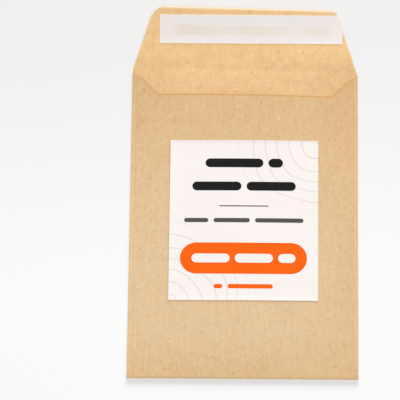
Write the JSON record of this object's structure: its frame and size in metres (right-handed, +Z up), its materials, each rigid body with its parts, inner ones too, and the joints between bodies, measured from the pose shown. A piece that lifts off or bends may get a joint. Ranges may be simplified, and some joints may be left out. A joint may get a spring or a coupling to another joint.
{
  "type": "paper envelope",
  "caption": "Pocket envelope folded from brown paper, lying on its address side with its closing flap open, a release liner over the adhesive and a label on the back.",
  "frame": {"origin": "on the surface that the envelope lies on, below the middle of its outline", "axes": "X across the envelope, +Y from the bottom fold towards the closing flap, +Z up, away from the surface"},
  "size_m": [0.132, 0.2268, 0.004],
  "materials": {
    "paper": "matt brown paper with fine ribs and fibres",
    "adhesive": "thin translucent pressure-sensitive adhesive",
    "liner": "smooth translucent release paper",
    "label": "smooth white label paper with flat printed fields"
  },
  "bodies": {
    "root": {"folded_paper": "paper", "flap_adhesive": "adhesive", "release_liner": "liner", "label": "label"}
  },
  "joints": []
}
